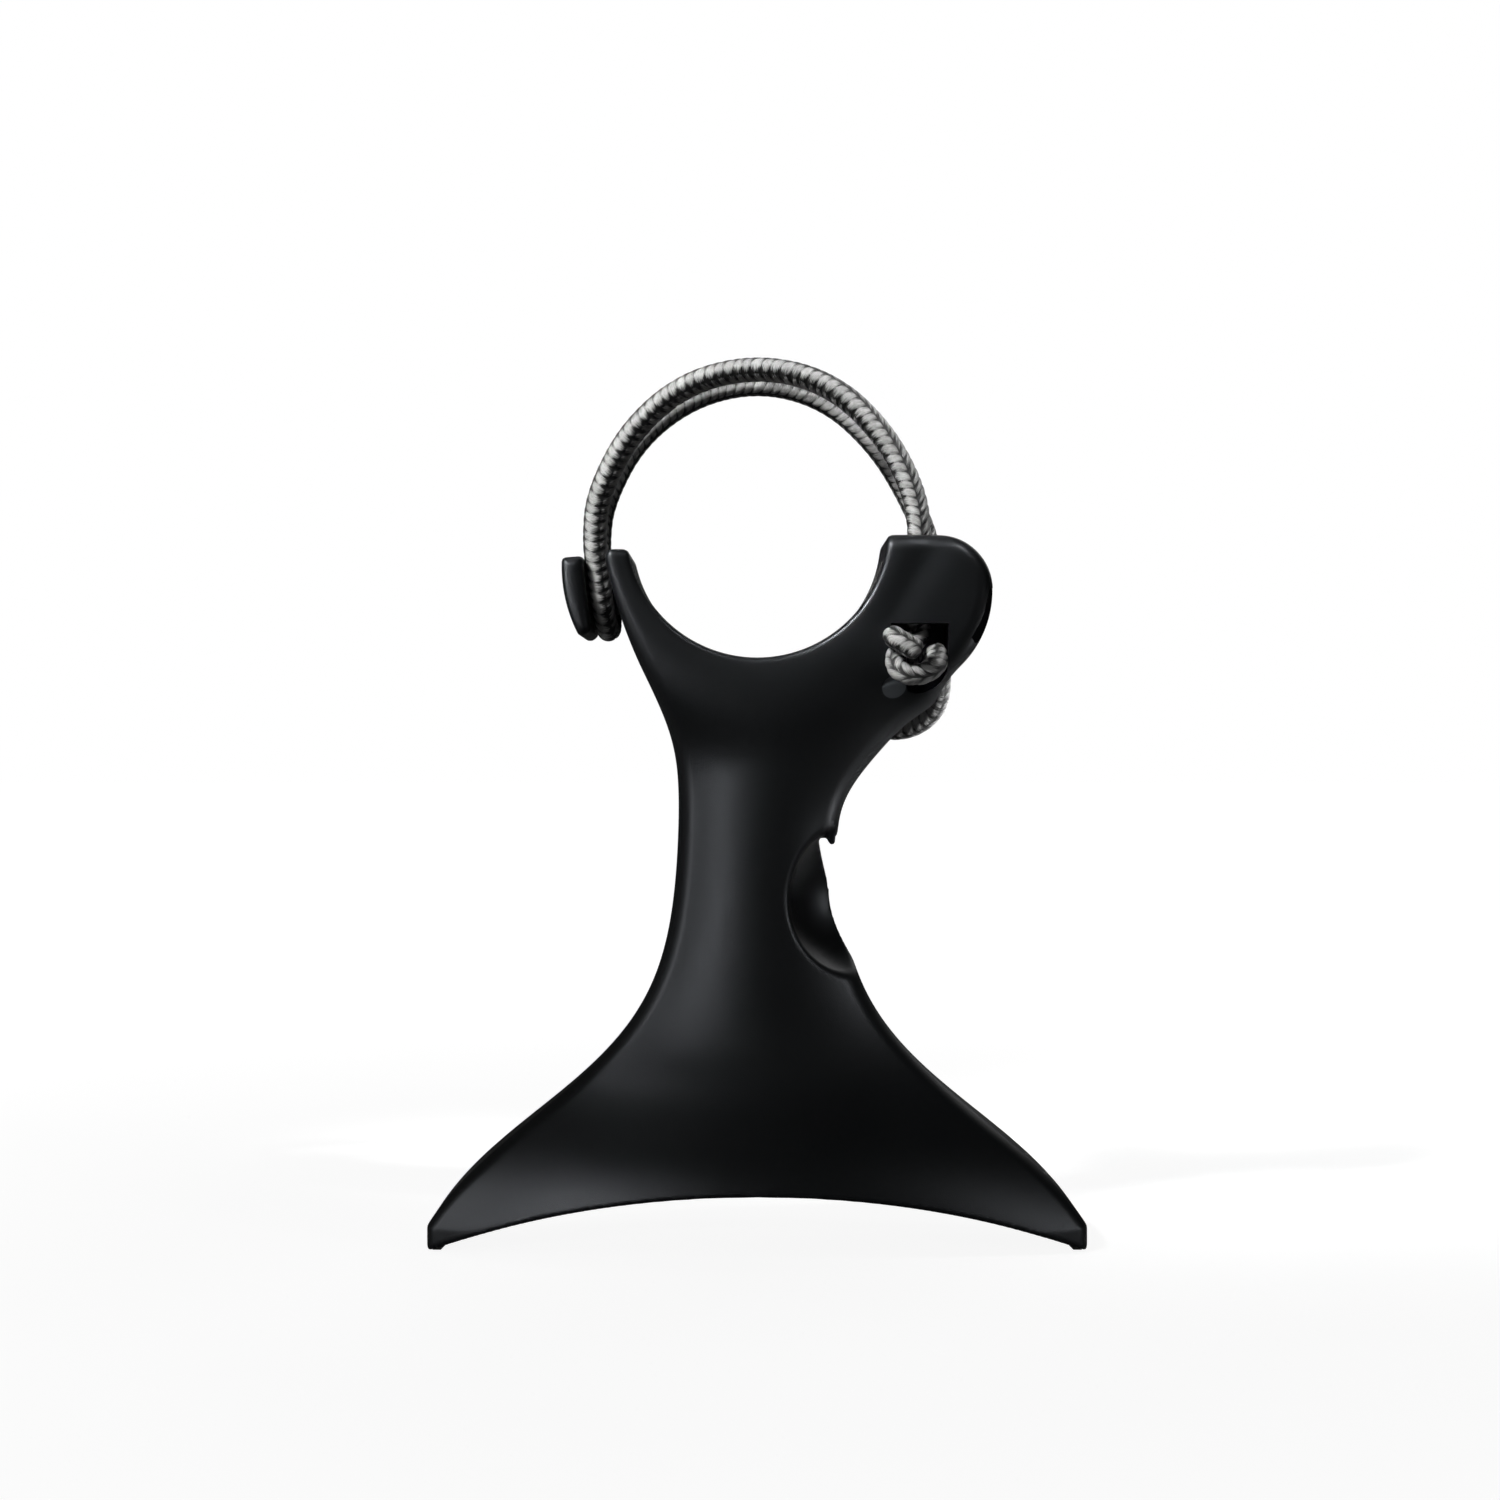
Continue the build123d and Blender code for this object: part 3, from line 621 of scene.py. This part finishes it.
def hollow(x, y, z):
    """The inside of the base, less the four posts that the plate is screwed to."""
    level = z[0, 0]
    swell = fall(level, 28, 5)
    left, right = left_side(level) - 11, right_side(level) - 11
    inner = crowned(x[:, 0] + 0 * z[0], left, right, 6.8 + 14.7 * swell, 1.6 + 4.9 * swell)[:, None, :]
    inside = np.maximum(np.abs(y) - inner, np.maximum(np.maximum(x - right, -left - x), z - 45))
    for px in (-33, 33):
        for py in (-10, 10):
            above_plate = arch_centre - z + np.sqrt((arch_radius + 2.5) ** 2 - x**2)
            inside = np.maximum(inside, -np.maximum(np.hypot(x - px, y - py) - 4, above_plate))
    return inside


carve((-60, -25, -2), (60, 25, 47), hollow)


crease = radians(38)  # edges sharper than this are shaded as edges


def skin(name, field, axes):
    """A smooth closed mesh over a field's zero level, one corner to each cell that it crosses."""
    inside = field < 0
    shape = tuple(n - 1 for n in field.shape)
    corners = [(i, j, k) for i in (0, 1) for j in (0, 1) for k in (0, 1)]
    full = sum(inside[i:i + shape[0], j:j + shape[1], k:k + shape[2]].astype(np.int8) for i, j, k in corners)
    crossed = (full > 0) & (full < 8)
    cells = np.argwhere(crossed)
    number = np.full(shape, -1, np.int64)
    number[crossed] = np.arange(len(cells))
    total, hits = np.zeros((len(cells), 3)), np.zeros(len(cells))
    for start in corners:
        for axis in range(3):
            if start[axis]:
                continue
            end = list(start)
            end[axis] = 1
            low = field[tuple((cells + start).T)]
            high = field[tuple((cells + end).T)]
            meets = (low < 0) != (high < 0)
            share = low[meets] / (low[meets] - high[meets])
            place = (cells[meets] + start).astype(float)
            place[:, axis] += share
            total[meets] += place
            hits[meets] += 1
    places = total / hits[:, None]
    quads = []
    for axis in range(3):
        first = np.moveaxis(inside, axis, 0)
        changes = np.argwhere(first[:-1] != first[1:])
        flips = first[tuple(changes.T)]
        b, c = (axis + 1) % 3, (axis + 2) % 3
        order = [axis] + [a for a in range(3) if a != axis]
        spot = np.empty_like(changes)
        for i, a in enumerate(order):
            spot[:, a] = changes[:, i]
        ring = []
        for db, dc in ((0, 0), (-1, 0), (-1, -1), (0, -1)):
            near = spot.copy()
            near[:, b] += db
            near[:, c] += dc
            ring.append(number[tuple(near.T)])
        ring = np.stack(ring, axis=1)
        ring[~flips] = ring[~flips][:, ::-1]
        quads.append(ring)
    quads = np.concatenate(quads)
    # the net is relaxed without shrinking
    a = np.concatenate([quads[:, i] for i in range(4)])
    b = np.concatenate([quads[:, (i + 1) % 4] for i in range(4)])
    links = np.bincount(a, minlength=len(places)) + np.bincount(b, minlength=len(places))
    for weight in (0.5, -0.52, 0.5, -0.52):
        pull = np.stack([np.bincount(a, places[b, i], len(places)) + np.bincount(b, places[a, i], len(places))
                         for i in range(3)], axis=1) / links[:, None]
        places = places + weight * (pull - places)
    origin = np.array([axis[0] for axis in axes])
    places = (origin + places * (axes[0][1] - axes[0][0])) * MM
    mesh = bpy.data.meshes.new(name)
    mesh.vertices.add(len(places))
    mesh.vertices.foreach_set("co", places.ravel())
    mesh.loops.add(len(quads) * 4)
    mesh.loops.foreach_set("vertex_index", quads.ravel())
    mesh.polygons.add(len(quads))
    mesh.polygons.foreach_set("loop_start", np.arange(len(quads)) * 4)
    mesh.polygons.foreach_set("use_smooth", np.ones(len(quads), bool))
    mesh.update(calc_edges=True)
    mesh.set_sharp_from_angle(angle=crease)
    piece = bpy.data.objects.new(name, mesh)
    scene.collection.objects.link(piece)
    return piece


def punch(piece, outline, front, floor):
    """Cuts a straight-walled recess with crisp edges into a piece, from the front down to its floor."""
    count = len(outline)
    cutter = bpy.data.meshes.new("cutter")
    corners = [(x * MM, y * MM, z * MM) for y in (front, floor) for x, z in outline]
    faces = [tuple(range(count)), tuple(range(2 * count - 1, count - 1, -1))]
    faces += [((i + 1) % count, i, i + count, (i + 1) % count + count) for i in range(count)]
    cutter.from_pydata(corners, [], faces)
    turns = sum(a[0] * b[1] - b[0] * a[1] for a, b in zip(outline, outline[1:] + outline[:1]))
    if turns < 0:
        cutter.flip_normals()
    tool = bpy.data.objects.new("cutter", cutter)
    scene.collection.objects.link(tool)
    press = piece.modifiers.new("press", "BOOLEAN")
    press.operation, press.solver, press.object = "DIFFERENCE", "EXACT", tool
    bpy.context.view_layer.update()
    cut_mesh = bpy.data.meshes.new_from_object(piece.evaluated_get(bpy.context.evaluated_depsgraph_get()))
    piece.modifiers.clear()
    piece.data = cut_mesh
    bpy.data.objects.remove(tool)
    cut_mesh.polygons.foreach_set("use_smooth", np.ones(len(cut_mesh.polygons), bool))
    cut_mesh.set_sharp_from_angle(angle=crease)


body_moulding = skin("body_moulding", body, (grid_x, grid_y, grid_z))

# the knot's pocket, the recess along the boss's rim and the dimple left by a pin of the mould
pocket = [(26.8, 127.0), (26.8, 116.8), (28.6, 116.4), (30.0, 114.6), (30.4, 113.4), (32.0, 113.0)]
pocket += arc((32.0, 113.0), (38.3, 117.7), -1.3, 6) + [(38.3, 127.0)]
recess = [(46.8, 134.3), (52.0, 134.3), (52.0, 123.2), (43.8, 123.2), (43.0, 124.1), (44.55, 126.9), (45.45, 128.9)]
pin_x, pin_y, pin_z, pin_radius = 27.6, -11.7, 114.0, 2.55
dimple = [(pin_x + pin_radius * cos(a), pin_z + pin_radius * sin(a)) for a in np.arange(0, 2 * pi, pi / 24)]
for walls, floor_y in ((pocket, -3.4), (recess, -9.0), (dimple, pin_y)):
    punch(body_moulding, walls, -20.0, floor_y)

body_finish, body_shader, wires = finish("black_plastic")
where = wires.node("ShaderNodeTexCoord", out=3)
grain = where.noise(5200.0, 2.0, 0.6)
cloud = where.noise(60.0, 3.0)
black = (grain * 0.6 + cloud * 0.5).mix((0.0008, 0.0009, 0.0010, 1), (0.0020, 0.0023, 0.0026, 1))
# painted light: the bottom of the dimple, where the mould's pin stood, is painted a lighter grey, as if lit
pin = (pin_x * MM, pin_y * MM, pin_z * MM)
from_pin = where.node("ShaderNodeVectorMath", {"operation": "DISTANCE"}, out=1, i0=where, i1=pin)
pin_painted_light = ((0.00252 - from_pin) * 9000.0).at_least(0.0).at_most(1.0)
plug(pin_painted_light.mix(black, (0.055, 0.061, 0.066, 1)), body_shader, "Base Color")
plug(0.33 + cloud * 0.06 + grain * 0.08, body_shader, "Roughness")
plug(wires.node("ShaderNodeBump", Height=grain, Distance=0.00006, Strength=0.35), body_shader, "Normal")
body_shader.inputs["Specular IOR Level"].default_value = 0.5
body_shader.inputs["Specular Tint"].default_value = (0.89, 0.93, 1, 1)
paint(body_moulding, body_finish)
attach(body_moulding, "stand")
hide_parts("stand_body")


# ---- the hook button ----
# A round post on the outside of the left arm with a thick rounded flange, moulded in the same black plastic.
# The loop of the cord hooks on the post, and the flange keeps it there. A screw holds it from inside the arm.

fine_step = 0.25
hook_axes = [np.arange(low, high, fine_step) for low, high in ((-40.5, -26.0), (-13.5, 13.6), (123.5, 142.0))]
x, y, z = np.meshgrid(*hook_axes, indexing="ij", sparse=True)
section = [(-36.1, 139.8), (-38.35, 139.5)] + arc((-38.35, 139.5), (-35.2, 125.5), -0.9, 12)
section += [(-34.6, 126.2), (-34.9, 129.0), (-35.5, 134.0)]
side_gap = np.abs(y) - 12.5
slab = profile_of(section)(x, y, z) - 1.1
slab = cut(slab, side_gap + 0 * x + 0 * z, 2.3)
slab = cut(slab, cut(side_gap + 0 * z, np.abs(z - 132.7) - 8.3 + 0 * y, 3.0) + 0 * x, 0.8)
out, along = from_post(x, z)
post = np.maximum(np.hypot(along, y) - 4.5, np.maximum(out - 4.5, -2.8 - out))
hook_button = skin("hook_button_moulding", np.minimum(slab, post), hook_axes)
paint(hook_button, body_finish)
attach(hook_button, "stand")
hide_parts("hook_button")


# ---- the cradle liner ----
# A soft strip of black rubber let into the cradle, between the two lips of the body, so that whatever is
# held there neither slips nor gets scratched.

rubber_finish, rubber_shader, wires = finish("black_rubber")
where = wires.node("ShaderNodeTexCoord", out=3)
grain = where.noise(2600.0, 3.0, 0.6)
dust = where.noise(90.0, 4.0)
plug((dust * 0.7 + grain * 0.4).mix((0.006, 0.006, 0.006, 1), (0.020, 0.020, 0.020, 1)), rubber_shader, "Base Color")
plug(0.62 + grain * 0.16 + dust * 0.08, rubber_shader, "Roughness")
plug(wires.node("ShaderNodeBump", Height=grain, Distance=0.0001, Strength=0.5), rubber_shader, "Normal")
rubber_shader.inputs["Specular IOR Level"].default_value = 0.4
paint(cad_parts["cradle_liner"], rubber_finish)


# ---- the base plate ----
# The arched cover of the hollow base, moulded in black plastic with a coarser grain than the body's, held up
# by four screws, with two more that hold the ballast on its back.

cover_finish, cover_shader, wires = finish("grained_plastic")
where = wires.node("ShaderNodeTexCoord", out=3)
grain = where.noise(1700.0, 3.0, 0.55)
scuff = where.scaled(30, 240, 30).noise(1.0, 4.0)
plug((scuff * 0.6 + grain * 0.5).mix((0.006, 0.0062, 0.0066, 1), (0.016, 0.0165, 0.017, 1)), cover_shader, "Base Color")
plug(0.48 + grain * 0.16 + scuff * 0.06, cover_shader, "Roughness")
plug(wires.node("ShaderNodeBump", Height=grain, Distance=0.00012, Strength=0.6), cover_shader, "Normal")
paint(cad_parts["base_plate"], cover_finish)


# ---- the screws ----
# Zinc-plated steel screws with dull bright threads and heads. Six alike hold the base plate and the ballast,
# and one with a sunk head is driven through the arm into the post of the hook button.

steel_finish, steel_shader, wires = finish("zinc_plate")
where = wires.node("ShaderNodeTexCoord", out=3)
spangle = where.noise(900.0, 3.0)
brushed = where.scaled(200, 200, 4000).noise(1.0, 2.0)
plug((spangle * 0.8 + brushed * 0.2).mix((0.32, 0.33, 0.35, 1), (0.56, 0.57, 0.58, 1)), steel_shader, "Base Color")
plug(0.26 + spangle * 0.16 + brushed * 0.08, steel_shader, "Roughness")
steel_shader.inputs["Metallic"].default_value = 1.0
for name in ("plate_screws", "hook_screw"):
    paint(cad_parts[name], steel_finish)


# ---- the ballast ----
# A block of cast iron, left as it came from the mould, screwed to the back of the plate inside the hollow
# base. It is out of sight, and keeps a loaded stand upright.

iron_finish, iron_shader, wires = finish("cast_iron")
where = wires.node("ShaderNodeTexCoord", out=3)
pits = where.noise(700.0, 4.0, 0.6)
rust = where.noise(120.0, 4.0)
plug((rust * 0.9 + pits * 0.2).mix((0.045, 0.043, 0.042, 1), (0.085, 0.070, 0.060, 1)), iron_shader, "Base Color")
plug(0.60 + pits * 0.3, iron_shader, "Roughness")
plug(wires.node("ShaderNodeBump", Height=pits, Distance=0.0003, Strength=0.7), iron_shader, "Normal")
iron_shader.inputs["Metallic"].default_value = 0.6
paint(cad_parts["ballast"], iron_finish)


# ---- the feet ----
# Two strips of grey-black rubber, moulded, pressed into slots at the two ends of the arch. They carry the
# stand and stop it sliding.

foot_finish, foot_shader, wires = finish("foot_rubber")
where = wires.node("ShaderNodeTexCoord", out=3)
wear = where.noise(300.0, 4.0)
fuzz = where.noise(3000.0, 2.0)
plug((wear * 0.8 + fuzz * 0.3).mix((0.010, 0.010, 0.010, 1), (0.035, 0.034, 0.033, 1)), foot_shader, "Base Color")
plug(0.70 + wear * 0.2, foot_shader, "Roughness")
plug(wires.node("ShaderNodeBump", Height=fuzz, Distance=0.0001, Strength=0.4), foot_shader, "Normal")
for name in ("foot_left", "foot_right"):
    paint(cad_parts[name], foot_finish)
